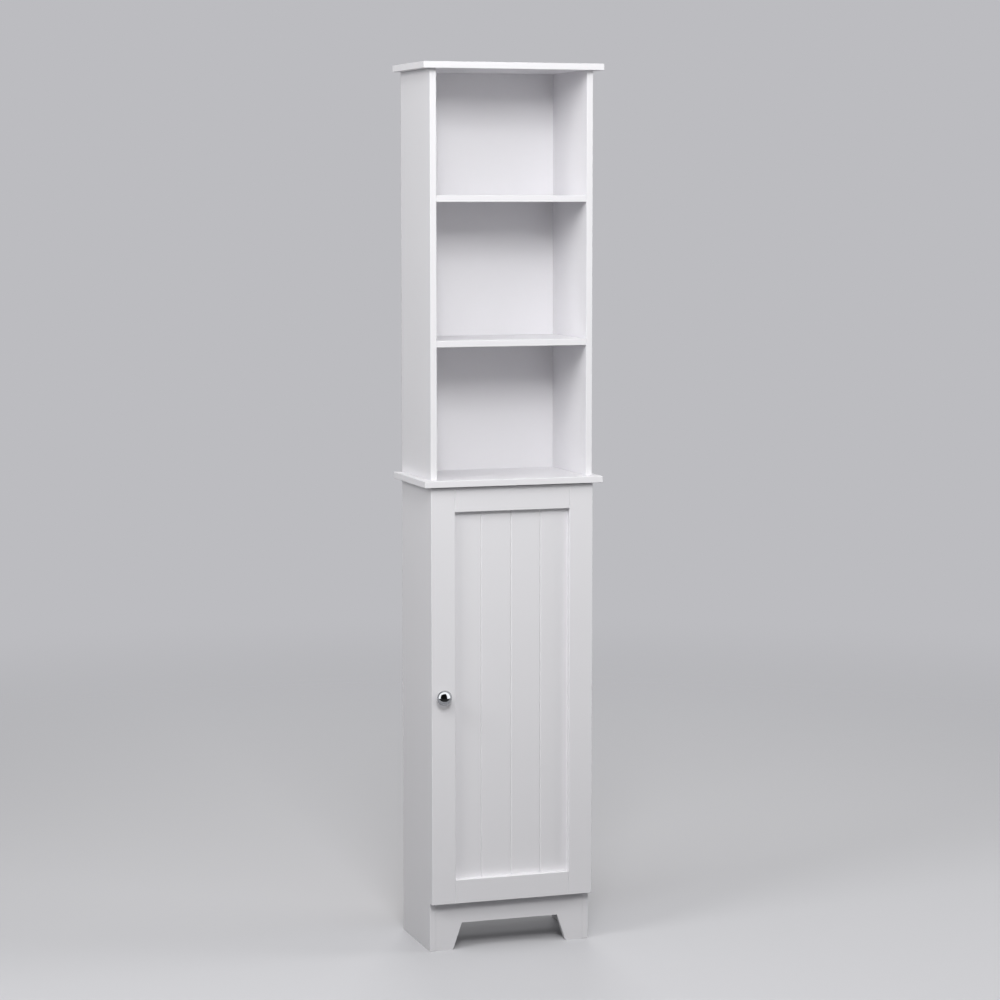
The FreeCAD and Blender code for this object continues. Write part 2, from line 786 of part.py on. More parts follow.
frame_dowels = []
dowel_radius, half_dowel = size("frame_dowel_radius"), size("frame_dowel_length") / 2
dowel_inset, dowel_pitch = size("frame_dowel_inset"), size("frame_dowel_pitch")
door_middle = door_front + thickness / 2
for side, sign, outward, inward in SIDES:
    for rail_name, edge, rise in (("bottom", door_bottom, 1), ("top", door_top, -1)):
        for number in (0, 1):
            tag = f"{rail_name}_{side}_{number}"
            z = edge + (dowel_inset + dowel_pitch * number) * rise
            joint = [opening_half * sign, door_middle, z]
            start = [opening_half * sign - half_dowel * sign, door_middle, z]
            frame_dowels.append(rod(f"frame_dowel_{tag}", start, outward, dowel_radius,
                                    half_dowel * 2))
            HOLES[f"door_stile_{side}"].append(
                rod(f"stile_hole_{tag}", joint, outward, dowel_radius + fit, half_dowel + fit))
            HOLES[f"door_rail_{rail_name}"].append(
                rod(f"rail_hole_{tag}", joint, inward, dowel_radius + fit, half_dowel + fit))
group("frame_dowels", frame_dowels)


# Knob ------------------------------------------------------------------------

knob_x, knob_z = size("knob_inset") - door_edge, size("knob_height")
neck, base_radius = size("knob_neck_radius"), size("knob_base_radius")
base, rim, reach = size("knob_base"), size("knob_rim"), size("knob_reach")
knob_radius, lip = size("knob_radius"), size("knob_lip")
neck_start = base + (base_radius - neck)
crown = reach - rim
crown_radius = (knob_radius * knob_radius + crown * crown) / (crown * 2)
knob = turned_body("knob_body", [
    (ZERO, ZERO), (base_radius, ZERO), (base_radius, base), (neck, neck_start),
    (neck, neck_start + size("knob_neck")), (knob_radius - size("knob_lip_inset"), rim - lip),
    (knob_radius, rim), (ZERO, reach)],
    {2: (size("knob_foot_radius"), -1), 4: (size("knob_flare_radius"), -1),
     5: (size("knob_lip_radius"), 1), 6: (crown_radius, 1)})
place(knob, [knob_x, door_front, knob_z], Rotation(Vector(0, 0, 1), 180))
knob_screw_radius, knob_bite = size("knob_screw_radius"), size("knob_screw_bite")
keep(turned_copy("knob_screw", pan_screw_section(
    "knob_screw_section", knob_screw_radius, thickness + knob_bite,
    size("knob_screw_head_radius"), size("knob_screw_head")), [knob_x, door_back, knob_z], FRONT),
    "knob_screw")
HOLES["door_stile_left"].append(rod("knob_pass", [knob_x, door_back, knob_z], FRONT,
                                    knob_screw_radius + fit, thickness))
HOLES["knob"].append(rod("knob_socket", [knob_x, door_front, knob_z], FRONT,
                         knob_screw_radius + fit, knob_bite + fit))
cut("knob", knob, HOLES["knob"])


# Magnetic catch, strike plate and bumper pads --------------------------------

strike_back = door_back + size("strike_thickness")
magnet_front = strike_back + size("catch_gap")
catch_front = magnet_front + size("magnet_proud")
catch_z = door_top - size("catch_drop")
catch_width, stand = size("catch_width"), size("catch_stand")
catch_length, catch_block = size("catch_length"), size("catch_block")
flange = size("catch_flange")
left_inner = -inner_face
catch_shell = joined("catch_shell", [
    box("catch_base", [left_inner, catch_front, catch_z - catch_length / 2], flange, catch_width,
        catch_length),
    box("catch_case", [left_inner, catch_front, catch_z - catch_block / 2], stand, catch_width,
        catch_block)])
magnet_width, magnet_length = size("magnet_width"), size("magnet_length")
magnet_depth = size("magnet_depth")
magnet_x = left_inner + flange + (stand - flange) / 2
keep(box("catch_magnet", [magnet_x - magnet_width / 2, magnet_front, catch_z - magnet_length / 2],
         magnet_width, magnet_depth, magnet_length), "catch_magnet")
catch_tools = [box("magnet_pocket", [magnet_x - magnet_width / 2 - fit, magnet_front,
                                     catch_z - magnet_length / 2 - fit],
                   magnet_width + fit * 2, magnet_depth + fit, magnet_length + fit * 2)]
catch_section = small_screw_section("catch_screw_section", flange + small_bite)
catch_screws, strike_screws = [], []
strike_tools = []
strike_section = small_screw_section("strike_screw_section",
                                     size("strike_thickness") + small_bite)
for spot, sign in (("low", -1), ("high", 1)):
    z = catch_z + size("catch_screw_pitch") / 2 * sign
    y = catch_front + catch_width / 2
    seat = [left_inner + flange, y, z]
    catch_screws.append(turned_copy(f"catch_screw_{spot}", catch_section, seat, LEFT))
    catch_tools.append(rod(f"catch_hole_{spot}", seat, LEFT, small_radius + fit, flange))
    HOLES["lower_side_left"].append(rod(f"catch_pilot_{spot}", [left_inner, y, z], LEFT,
                                        small_radius + fit, small_bite + fit))
    z = catch_z + size("strike_screw_pitch") / 2 * sign
    seat = [magnet_x, strike_back, z]
    strike_screws.append(turned_copy(f"strike_screw_{spot}", strike_section, seat, FRONT))
    strike_tools.append(rod(f"strike_hole_{spot}", seat, FRONT, small_radius + fit,
                            size("strike_thickness")))
    HOLES["door_stile_left"].append(rod(f"strike_pilot_{spot}", [magnet_x, door_back, z], FRONT,
                                        small_radius + fit, small_bite + fit))
cut("magnetic_catch", catch_shell, catch_tools)
cut("strike_plate", box("strike_blank", [magnet_x - size("strike_width") / 2, door_back,
                                         catch_z - size("strike_length") / 2],
                        size("strike_width"), size("strike_thickness"), size("strike_length")),
    strike_tools)
group("catch_screws", catch_screws)
group("strike_screws", strike_screws)
group("bumper_pads", [
    rod(f"bumper_{spot}", [-side_middle, door_back, z], REAR, size("bumper_radius"),
        lower_front - door_back - size("bumper_gap"))
    for spot, z in (("low", door_bottom + size("bumper_inset")),
                    ("high", door_top - size("bumper_inset")))])


# Concealed hinges ------------------------------------------------------------

def unit(dx, dy):
    """The unit vector along a span and the span's length."""
    length = (dx * dx + dy * dy).root()
    return dx / length, dy / length, length


def bowed_bar(label, span, bow, half_width, thick):
    """A flat bar of even width from the origin to a point, bowed to the right of its way."""
    dx, dy = span
    ux, uy, length = unit(dx, dy)
    nx, ny = -uy * half_width, ux * half_width
    radius = (length * length / 4 + bow * bow) / (bow * 2)
    return padded(label, [(-nx, -ny), (dx - nx, dy - ny), (dx + nx, dy + ny), (nx, ny)],
                  thick, {0: (radius, 1), 2: (radius, -1)})


def oblong(label, origin, span, start, end, half_width, thick):
    """The pieces of a round-ended bar that lies along a span, between two distances on it."""
    ux, uy, _ = unit(*span)
    nx, ny = -uy * half_width, ux * half_width
    ax, ay, bx, by = ux * start, uy * start, ux * end, uy * end
    bar = padded(label, [(ax - nx, ay - ny), (bx - nx, by - ny), (bx + nx, by + ny),
                         (ax + nx, ay + ny)], thick)
    place(bar, origin)
    x, y, z = origin
    return [bar, rod(f"{label}_start", [x + ax, y + ay, z], UP, half_width, thick),
            rod(f"{label}_end", [x + bx, y + by, z], UP, half_width, thick)]


def arm_point(inset, back):
    """A point in plan, from the right side board's inner face and front edge."""
    return inner_face - inset, lower_front + back


cup_x = door_edge - size("cup_inset")
outer_arm = arm_point(size("outer_arm_inset"), size("outer_arm_back"))
outer_cup = (door_edge - size("outer_cup_inset"), door_back - size("outer_cup_depth"))
inner_arm = arm_point(size("inner_arm_inset"), size("inner_arm_back"))
inner_cup = (door_edge - size("inner_cup_inset"), door_back - size("inner_cup_depth"))
outer_span = (outer_cup[0] - outer_arm[0], outer_cup[1] - outer_arm[1])
inner_span = (inner_arm[0] - inner_cup[0], inner_arm[1] - inner_cup[1])
bar_half, eye, pivot = size("link_half_width"), size("eye_radius"), size("pivot_radius")
pivot_hole = pivot + size("pivot_fit")
slot_half = pivot + size("slot_play")
link_gap, link_plate = size("outer_link_gap") / 2, size("outer_link_plate")
sheet_thick = size("arm_sheet")
arm_half = size("arm_inside") / 2 + sheet_thick
inner_half = size("inner_link_width") / 2
cup_outer, cup_inner = size("cup_radius"), size("cup_radius") - size("cup_wall")


def chord(radius, offset):
    """Half the chord of a circle at an offset from its centre."""
    return (radius * radius - offset * offset).root()


def cup_pin_reach(pin):
    """How far a cup pin runs from the middle of the cup and still ends inside its wall."""
    return chord(cup_outer, pin[0] - cup_x + pivot) - fit


parts = {name: [] for name in ("outer_links", "inner_links", "arm_rivets", "arm_pins",
                               "cup_rivets", "cup_pins", "cup_screws", "plate_screws",
                               "arm_screws")}
cup_section = small_screw_section("cup_screw_section", size("cup_flange") + small_bite)
plate_section = small_screw_section("plate_screw_section", size("plate_wing") + small_bite)
arm_section = small_screw_section("arm_screw_section", sheet_thick + size("arm_screw_bite"))

for spot, height in (("lower", door_bottom + size("hinge_inset")),
                     ("upper", door_top - size("hinge_inset"))):
    # links
    for face, sign in (("bottom", -1), ("top", 1)):
        low = height + link_gap if sign > 0 else height - link_gap - link_plate
        tag = f"{spot}_{face}"
        bar = bowed_bar(f"outer_bar_{tag}", outer_span, size("outer_bow"), bar_half, link_plate)
        place(bar, [*outer_arm, low])
        eyes = [rod(f"outer_eye_{end}_{tag}", [*spot_xy, low], UP, eye, link_plate)
                for end, spot_xy in (("arm", outer_arm), ("cup", outer_cup))]
        bores = [rod(f"outer_bore_{end}_{tag}", [*spot_xy, low], UP, pivot_hole, link_plate)
                 for end, spot_xy in (("arm", outer_arm), ("cup", outer_cup))]
        parts["outer_links"].append(bored(f"outer_link_{tag}",
                                          joined(f"outer_shape_{tag}", [bar, *eyes]), bores))
        way = UP if sign > 0 else DOWN
        stub_start = height + size("stub_gap") / 2 * sign
        parts["arm_rivets"].append(rod(f"arm_rivet_{tag}", [*outer_arm, stub_start], way, pivot,
                                       arm_half - size("stub_gap") / 2 + fit))
        parts["cup_rivets"].append(rod(f"cup_rivet_{tag}", [*outer_cup, stub_start], way, pivot,
                                       cup_pin_reach(outer_cup) - size("stub_gap") / 2))
    low = height - inner_half
    bar = bowed_bar(f"inner_bar_{spot}", (-inner_span[0], -inner_span[1]), size("inner_bow"),
                    bar_half, inner_half * 2)
    place(bar, [*inner_arm, low])
    tail = oblong(f"inner_tail_{spot}", [*inner_arm, low], inner_span, -size("slot_in"),
                  size("slot_out"), slot_half + size("slot_wall"), inner_half * 2)
    slot = oblong(f"inner_slot_{spot}", [*inner_arm, low], inner_span, -size("slot_in"),
                  size("slot_out"), slot_half, inner_half * 2)
    head = rod(f"inner_eye_{spot}", [*inner_cup, low], UP, eye, inner_half * 2)
    bore = rod(f"inner_bore_{spot}", [*inner_cup, low], UP, pivot_hole, inner_half * 2)
    parts["inner_links"].append(bored(f"inner_link_{spot}",
                                      joined(f"inner_shape_{spot}", [bar, *tail, head]),
                                      [*slot, bore]))
    parts["arm_pins"].append(rod(f"arm_pin_{spot}", [*inner_arm, height - arm_half - fit], UP,
                                 pivot, (arm_half + fit) * 2))
    hold = cup_pin_reach(inner_cup)
    parts["cup_pins"].append(rod(f"cup_pin_{spot}", [*inner_cup, height - hold], UP, pivot,
                                 hold * 2))

    # cup, let into the door
    flange_thick = size("cup_flange")
    ear = size("cup_ear_width") / 2
    shell = joined(f"cup_shape_{spot}", [
        rod(f"cup_barrel_{spot}", [cup_x, door_back, height], FRONT, cup_outer,
            size("cup_depth")),
        rod(f"cup_rim_{spot}", [cup_x, door_back, height], REAR, size("cup_rim_radius"),
            flange_thick),
        box(f"cup_ears_{spot}", [cup_x - ear, door_back, height - size("cup_ear_length") / 2],
            ear * 2, flange_thick, size("cup_ear_length"))])
    notch, heel = size("cup_notch_width"), size("cup_heel_width")
    tools = [
        rod(f"cup_pocket_{spot}", [cup_x, door_back + flange_thick, height], FRONT, cup_inner,
            flange_thick + size("cup_depth") - size("cup_floor")),
        box(f"cup_notch_{spot}", [cup_x - size("cup_rim_radius") - overcut,
                                  door_back - size("cup_notch_depth"), height - notch / 2],
            size("cup_notch_reach"), size("cup_notch_depth") + flange_thick, notch),
        box(f"cup_heel_{spot}", [cup_x + cup_inner - size("cup_wall"),
                                 door_back - size("cup_heel_depth"), height - heel / 2],
            size("cup_rim_radius"), size("cup_heel_depth") + flange_thick, heel),
    ]
    for end, spot_xy in (("outer", outer_cup), ("inner", inner_cup)):
        reach = cup_pin_reach(spot_xy) + fit / 2
        tools.append(rod(f"cup_bore_{end}_{spot}", [*spot_xy, height - reach], UP, pivot_hole,
                         reach * 2))
    for face, sign in (("low", -1), ("high", 1)):
        z = height + size("cup_screw_pitch") / 2 * sign
        seat = [cup_x, door_back + flange_thick, z]
        tag = f"{spot}_{face}"
        parts["cup_screws"].append(turned_copy(f"cup_screw_{tag}", cup_section, seat, FRONT))
        tools.append(rod(f"cup_ear_hole_{tag}", seat, FRONT, small_radius + fit, flange_thick))
        HOLES["door_stile_right"].append(rod(f"cup_pilot_{tag}", [cup_x, door_back, z], FRONT,
                                             small_radius + fit, small_bite + fit))
    HOLES["door_stile_right"].append(rod(f"cup_seat_{spot}", [cup_x, door_back, height], FRONT,
                                         cup_outer + fit, size("cup_depth") + fit))
    cut(f"hinge_cup_{spot}", shell, tools)

    # arm: a channel whose web faces into the cupboard
    channel = padded(f"arm_channel_{spot}", [
        arm_point(size("arm_nose"), size("arm_nose_front")),
        arm_point(size("arm_toe"), size("arm_toe_front")),
        arm_point(size("arm_toe"), size("arm_toe_back")),
        arm_point(size("arm_lift"), size("arm_lift_start")),
        arm_point(size("arm_lift"), size("arm_rear")),
        arm_point(size("arm_web"), size("arm_rear")),
        arm_point(size("arm_web"), size("arm_web_start")),
        arm_point(size("arm_nose"), size("arm_nose_back"))], arm_half * 2)
    place(channel, [ZERO, ZERO, height - arm_half])
    hollow = padded(f"arm_hollow_{spot}", [
        arm_point(size("arm_nose") - sheet_thick, ZERO), arm_point(ZERO, ZERO),
        arm_point(ZERO, size("arm_rear") + overcut),
        arm_point(size("arm_web") - sheet_thick, size("arm_rear") + overcut),
        arm_point(size("arm_web") - sheet_thick, size("arm_web_start") - sheet_thick / 2),
        arm_point(size("arm_nose") - sheet_thick, size("arm_nose_back") - sheet_thick / 2)],
        size("arm_inside"))
    place(hollow, [ZERO, ZERO, height - size("arm_inside") / 2])
    tools = [hollow]
    for end, spot_xy in (("outer", outer_arm), ("inner", inner_arm)):
        tools.append(rod(f"arm_bore_{end}_{spot}", [*spot_xy, height - arm_half], UP,
                         pivot_hole, arm_half * 2))
    ridge_top = inner_face - size("plate_ridge_height")
    web_face = inner_face - size("arm_web")
    plate_tools = []
    for use, back in (("screw", size("arm_screw_back")), ("adjuster", size("arm_adjuster_back"))):
        y = lower_front + back
        tag = f"{use}_{spot}"
        parts["arm_screws"].append(turned_copy(f"arm_{tag}", arm_section, [web_face, y, height],
                                               RIGHT))
        tools.append(rod(f"arm_hole_{tag}", [web_face, y, height], RIGHT, small_radius + fit,
                         sheet_thick))
        plate_tools.append(rod(f"arm_thread_{tag}", [ridge_top, y, height], RIGHT,
                               small_radius + fit, size("arm_screw_bite") + fit))
    cut(f"hinge_arm_{spot}", channel, tools)

    # mounting plate, screwed to the side board
    ridge, wing = size("plate_ridge") / 2, size("plate_wing_length") / 2
    line = lower_front + size("plate_line")
    mount = joined(f"plate_shape_{spot}", [
        box(f"plate_ridge_{spot}", [ridge_top, lower_front + size("plate_ridge_start"),
                                    height - ridge],
            size("plate_ridge_height"), size("plate_ridge_end") - size("plate_ridge_start"),
            ridge * 2),
        box(f"plate_wings_{spot}", [inner_face - size("plate_wing"),
                                    line - size("plate_wing_width") / 2, height - wing],
            size("plate_wing"), size("plate_wing_width"), wing * 2)])
    for face, sign in (("low", -1), ("high", 1)):
        z = height + size("plate_screw_pitch") / 2 * sign
        tag = f"{spot}_{face}"
        seat = [inner_face - size("plate_wing"), line, z]
        parts["plate_screws"].append(turned_copy(f"plate_screw_{tag}", plate_section, seat,
                                                 RIGHT))
        plate_tools.append(rod(f"plate_hole_{tag}", seat, RIGHT, small_radius + fit,
                               size("plate_wing")))
        HOLES["lower_side_right"].append(rod(f"plate_pilot_{tag}", [inner_face, line, z], RIGHT,
                                             small_radius + fit, small_bite + fit))
    cut(f"mounting_plate_{spot}", mount, plate_tools)

for label, pieces in parts.items():
    group(label, pieces)


# Boards, with every hole that the fixings need -------------------------------

deep = size("board_depth")
wide = size("board_width")
upper_tall = top_underside - waist_top
boards = {
    "top_board": ([-wide / 2, board_front, top_underside], wide, deep, stock),
    "waist_board": ([-wide / 2, board_front, waist_underside], wide, deep, stock),
    "upper_side_left": ([-half_carcass, upper_front, waist_top], stock, upper_depth, upper_tall),
    "upper_side_right": ([inner_face, upper_front, waist_top], stock, upper_depth, upper_tall),
    "high_shelf": ([-inner_face, upper_front, size("high_shelf_height") - stock], bay_width,
                   upper_depth, stock),
    "low_shelf": ([-inner_face, upper_front, size("low_shelf_height") - stock], bay_width,
                  upper_depth, stock),
    "lower_side_left": ([-half_carcass, lower_front, ZERO], stock, lower_depth, waist_underside),
    "lower_side_right": ([inner_face, lower_front, ZERO], stock, lower_depth, waist_underside),
    "deck_panel": ([-inner_face, lower_front, deck_underside], bay_width, lower_depth, stock),
}
for label, (corner, length, width, tall) in boards.items():
    cut(label, board(f"{label}_body", corner, length, width, tall), HOLES[label])
for label, (corner, length, tall) in members.items():
    cut(label, board(f"{label}_body", corner, length, thickness, tall, "door_ease"), HOLES[label])


# Check and write -------------------------------------------------------------

doc.recompute()
faults = []
for thing in doc.Objects:
    if thing.isDerivedFrom("App::OriginFeature") or thing.isDerivedFrom("App::Origin"):
        continue
    if "Invalid" in thing.State or "Error" in thing.State:
        faults.append(f"{thing.Label}: {thing.State}")
for label, node in NODES.items():
    if node.Shape.isNull() or not node.Shape.isValid():
        faults.append(f"{label}: bad shape")
if faults:
    raise RuntimeError("; ".join(faults))

os.makedirs("parts", exist_ok=True)
for label, node in sorted(NODES.items()):
    node.Shape.exportStep(f"parts/{label}.step")
    print(label, len(node.Shape.Solids), round(node.Shape.Volume, 1))
print(len(NODES), "nodes")
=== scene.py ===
"""Tall white bathroom cabinet: finishes, fasteners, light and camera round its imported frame."""
import json
import math

import bmesh
import bpy
from mathutils import Euler, Matrix, Vector


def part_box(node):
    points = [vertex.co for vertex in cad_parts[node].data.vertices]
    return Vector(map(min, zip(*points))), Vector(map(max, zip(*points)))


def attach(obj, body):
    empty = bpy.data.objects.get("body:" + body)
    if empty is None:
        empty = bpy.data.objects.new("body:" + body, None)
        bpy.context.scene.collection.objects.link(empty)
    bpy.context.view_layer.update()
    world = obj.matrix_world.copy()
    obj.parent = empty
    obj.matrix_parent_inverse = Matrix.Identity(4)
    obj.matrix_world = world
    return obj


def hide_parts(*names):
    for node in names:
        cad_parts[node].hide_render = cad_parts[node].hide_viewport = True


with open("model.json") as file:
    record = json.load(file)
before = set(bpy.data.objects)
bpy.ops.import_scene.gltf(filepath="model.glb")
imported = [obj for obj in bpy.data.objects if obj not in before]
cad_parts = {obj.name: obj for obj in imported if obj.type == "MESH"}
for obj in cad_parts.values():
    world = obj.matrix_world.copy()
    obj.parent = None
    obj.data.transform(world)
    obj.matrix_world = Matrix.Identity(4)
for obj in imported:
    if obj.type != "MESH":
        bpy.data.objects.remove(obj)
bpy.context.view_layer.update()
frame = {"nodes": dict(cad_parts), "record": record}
nodes = frame["nodes"]
slots = {part["node"]: part["material_slot"] for part in frame["record"]["subparts"]}

MM = 0.001


# Objects and nodes ------------------------------------------------------------

def add_object(name, data):
    """Puts a mesh, light or camera into the scene as an object."""
    made = bpy.data.objects.new(name, data)
    bpy.context.scene.collection.objects.link(made)
    return made


def to_mesh(shape, name):
    """Turns a bmesh into a mesh and frees it."""
    mesh = bpy.data.meshes.new(name)
    shape.to_mesh(mesh)
    shape.free()
    return mesh


def turn_to(point, place):
    """The turn that points the -Z side of a thing at a place to a point."""
    return (Vector(point) - Vector(place)).to_track_quat("-Z", "Y")


def linear(code):
    """An sRGB hex colour as linear red, green, blue and alpha."""
    parts = [int(code[i:i + 2], 16) / 255 for i in (1, 3, 5)]
    return (*(c / 12.92 if c <= 0.04045 else ((c + 0.055) / 1.055) ** 2.4 for c in parts), 1.0)


def add(tree, kind, values=None, links=None, **settings):
    """Adds a node, sets its sockets and settings, and links its inputs to (node, output) pairs."""
    node = tree.nodes.new("ShaderNode" + kind)
    for name, value in settings.items():
        setattr(node, name, value)
    for socket, value in (values or {}).items():
        node.inputs[socket].default_value = value
    for socket, (source, output) in (links or {}).items():
        tree.links.new(source.outputs[output], node.inputs[socket])
    return node


def noise(tree, place, spacing_mm, detail, **values):
    """A noise whose lumps lie about a spacing apart, over a (node, output) place."""
    scale = 1.0 / (spacing_mm * MM)
    return add(tree, "TexNoise", {"Scale": scale, "Detail": detail, **values}, {"Vector": place})


def spread(tree, source, low, high):
    """Spreads a value from 0 to 1 over the range from low to high."""
    return add(tree, "MapRange", {"To Min": low, "To Max": high}, {"Value": (source, 0)})


def bump(tree, height, strength, depth_mm):
    """The normal of a surface that a pattern raises by up to a depth."""
    return add(tree, "Bump", {"Strength": strength, "Distance": depth_mm * MM},
               {"Height": (height, 0)})


def two_tone(tree, source, *stops):
    """A colour that runs between two (position, hex colour) stops."""
    node = add(tree, "ValToRGB", links={"Fac": (source, 0)})
    for i, (position, code) in enumerate(stops):
        stop = node.color_ramp.elements[i]
        stop.position, stop.color = position, linear(code)
    return node


def seen(tree):
    """Gives 1 to what the camera sees, straight, mirrored or through a clear part, and else 0."""
    path = add(tree, "LightPath")
    mirrored = add(tree, "Math", links={0: (path, "Is Camera Ray"), 1: (path, "Is Glossy Ray")},
                   operation="MAXIMUM")
    return add(tree, "Math", links={0: (mirrored, 0), 1: (path, "Is Transmission Ray")},
               operation="MAXIMUM")


def new_material(name):
    """An empty material, its node tree, and the coordinates that its patterns read."""
    material = bpy.data.materials.new(name)
    material.use_nodes = True
    material.node_tree.nodes.clear()
    return material, material.node_tree, add(material.node_tree, "TexCoord")


def finish_material(material, shader):
    """Links a shader to the material's output and returns the material."""
    add(material.node_tree, "OutputMaterial", links={"Surface": (shader, 0)})
    return material


# Materials --------------------------------------------------------------------

# the band white is partly the colour of a white edge band and partly a painted highlight on the
# boards' lit edges
BOARD_WHITE, BAND_AND_HIGHLIGHT_WHITE, DOOR_WHITE = "#e9e8eb", "#ecebee", "#e8e7ea"
RAW_FIBRE = ("#7a5a3e", "#b8936b")
COATING_IOR = 1.5
# the cosine within which a face that points to the front or to an end counts as that edge
EDGE_COSINE = 0.8
# how far behind its front the white face of a back panel ends
FACE_DEPTH = 0.3 * MM


def foiled_board(name, front_weight, end_weight):
    """Particle board in white satin foil: even, with the faint peel of a rolled foil.

    A whiter band covers the front edge and the ends, each where its weight is 1: partly a white
    edge band, partly a painted highlight on those edges.
    """
    material, tree, place = new_material(name)
    axes = add(tree, "SeparateXYZ", links={"Vector": (place, "Normal")})
    front = add(tree, "Math", {1: -front_weight}, {0: (axes, "Y")}, operation="MULTIPLY")
    sideways = add(tree, "Math", links={0: (axes, "X")}, operation="ABSOLUTE")
    end = add(tree, "Math", {1: end_weight}, {0: (sideways, 0)}, operation="MULTIPLY")
    edge = add(tree, "Math", links={0: (front, 0), 1: (end, 0)}, operation="MAXIMUM")
    # the faces that take the whiter band, which is partly a painted highlight
    band_and_highlight = add(tree, "Math", {1: EDGE_COSINE}, {0: (edge, 0)}, operation="GREATER_THAN")
    colour = add(tree, "Mix", {"A": linear(BOARD_WHITE), "B": linear(BAND_AND_HIGHLIGHT_WHITE)},
                 {"Factor": (band_and_highlight, 0)}, data_type="RGBA")
    # a slow unevenness of tone over the board
    tone = noise(tree, (place, "Object"), 90, 3.0)
    shade = spread(tree, tone, 0.975, 1.0)
    toned = add(tree, "Mix", {"Factor": 1.0}, {"A": (colour, "Result"), "B": (shade, 0)},
                data_type="RGBA", blend_type="MULTIPLY")
    rough = spread(tree, tone, 0.36, 0.46)
    peel = noise(tree, (place, "Object"), 2.2, 2.0, Roughness=0.4)
    relief = bump(tree, peel, 0.10, 0.05)
    shader = add(tree, "BsdfPrincipled", {"IOR": COATING_IOR},
                 {"Base Color": (toned, "Result"), "Roughness": (rough, 0), "Normal": (relief, 0)})
    return finish_material(material, shader)


def sprayed_paint(name, code):
    """MDF in satin spray lacquer: softer than foil, with a fine orange peel."""
    material, tree, place = new_material(name)
    tone = noise(tree, (place, "Object"), 140, 2.0)
    shade = spread(tree, tone, 0.98, 1.0)
    toned = add(tree, "Mix", {"Factor": 1.0, "A": linear(code)}, {"B": (shade, 0)},
                data_type="RGBA", blend_type="MULTIPLY")
    peel = noise(tree, (place, "Object"), 1.6, 3.0)
    relief = bump(tree, peel, 0.14, 0.06)
    rough = spread(tree, peel, 0.34, 0.42)
    shader = add(tree, "BsdfPrincipled", {"IOR": COATING_IOR},
                 {"Base Color": (toned, "Result"), "Roughness": (rough, 0), "Normal": (relief, 0)})
    return finish_material(material, shader)


def faced_hardboard(name, front_y):
    """Thin hardboard: a white printed face forward, raw pressed fibre on its back and edges."""
    material, tree, place = new_material(name)
    spot = add(tree, "SeparateXYZ", links={"Vector": (place, "Object")})
    behind = add(tree, "Math", {1: front_y + FACE_DEPTH}, {0: (spot, "Y")},
                 operation="GREATER_THAN")
    # fibres pressed flat, a few millimetres long, lying every way, with paler and darker clouds
    fibre = noise(tree, (place, "Object"), 3.5, 6.0, Roughness=0.7, Distortion=1.2)
    cloud = noise(tree, (place, "Object"), 60, 2.0)
    mixed = add(tree, "Math", {1: 0.35}, {0: (cloud, 0), 2: (fibre, 0)},
                operation="MULTIPLY_ADD")
    brown = two_tone(tree, mixed, (0.35, RAW_FIBRE[0]), (0.95, RAW_FIBRE[1]))
    colour = add(tree, "Mix", {"A": linear(BOARD_WHITE)}, {"Factor": (behind, 0), "B": (brown, 0)},
                 data_type="RGBA")
    rough = spread(tree, behind, 0.45, 0.85)
    relief = bump(tree, fibre, 0.12, 0.08)
    shader = add(tree, "BsdfPrincipled", {"IOR": COATING_IOR},
                 {"Base Color": (colour, "Result"), "Roughness": (rough, 0),
                  "Normal": (relief, 0)})
    return finish_material(material, shader)


def plated_metal(name, code, smooth, rough):
    """Plated or cast metal: its own colour, with fine upright marks in its roughness."""
    material, tree, place = new_material(name)
    stretched = add(tree, "Mapping", {"Scale": (1.0, 1.0, 0.15)}, {"Vector": (place, "Object")})
    marks = noise(tree, (stretched, 0), 0.8, 3.0)
    blur = spread(tree, marks, smooth, rough)
    relief = bump(tree, marks, 0.02, 0.02)
    shader = add(tree, "BsdfPrincipled", {"Base Color": linear(code), "Metallic": 1.0},
                 {"Roughness": (blur, 0), "Normal": (relief, 0)})
    return finish_material(material, shader)


def beech(name):
    """Turned beech: pale, with short darker flecks along the grain."""
    material, tree, place = new_material(name)
    along = add(tree, "Mapping", {"Scale": (0.2, 1.0, 1.0)}, {"Vector": (place, "Object")})
    grain = noise(tree, (along, 0), 1.2, 5.0, Roughness=0.6)
    colour = two_tone(tree, grain, (0.3, "#b98f5f"), (0.75, "#e0bd8c"))
    shader = add(tree, "BsdfPrincipled", {"Roughness": 0.6}, {"Base Color": (colour, 0)})
    return finish_material(material, shader)


def moulded_plastic(name, code, smooth, rough):
    """Injection-moulded plastic with a fine spark-eroded grain."""
    material, tree, place = new_material(name)
    grain = noise(tree, (place, "Object"), 0.9, 2.0)
    blur = spread(tree, grain, smooth, rough)
    relief = bump(tree, grain, 0.10, 0.03)
    shader = add(tree, "BsdfPrincipled", {"Base Color": linear(code), "IOR": COATING_IOR},
                 {"Roughness": (blur, 0), "Normal": (relief, 0)})
    return finish_material(material, shader)


FINISHES = {
    "white_board": foiled_board("foiled_board", 1.0, 0.0),
    "capping_board": foiled_board("capping_board", 1.0, 1.0),
    "plain_board": foiled_board("plain_board", 0.0, 0.0),
    "white_door": sprayed_paint("sprayed_mdf", DOOR_WHITE),
    "back_board": faced_hardboard("faced_hardboard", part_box("upper_back_panel")[0].y),
    "beech": beech("beech"),
    "white_plastic": moulded_plastic("white_polypropylene", "#eeeeec", 0.40, 0.50),
    "clear_pad": moulded_plastic("clear_polyurethane", "#dfe3e4", 0.12, 0.20),
    "ferrite": moulded_plastic("sintered_ferrite", "#2a2b2e", 0.45, 0.60),
    "chrome": plated_metal("chrome_plate", "#a6a8ab", 0.03, 0.05),
    "nickel_steel": plated_metal("nickel_plated_steel", "#d2d0cb", 0.17, 0.25),
    "fastener_steel": plated_metal("zinc_plated_steel", "#c8c9c8", 0.25, 0.36),
    "zinc": plated_metal("die_cast_zinc", "#c0c2c4", 0.34, 0.46),
}
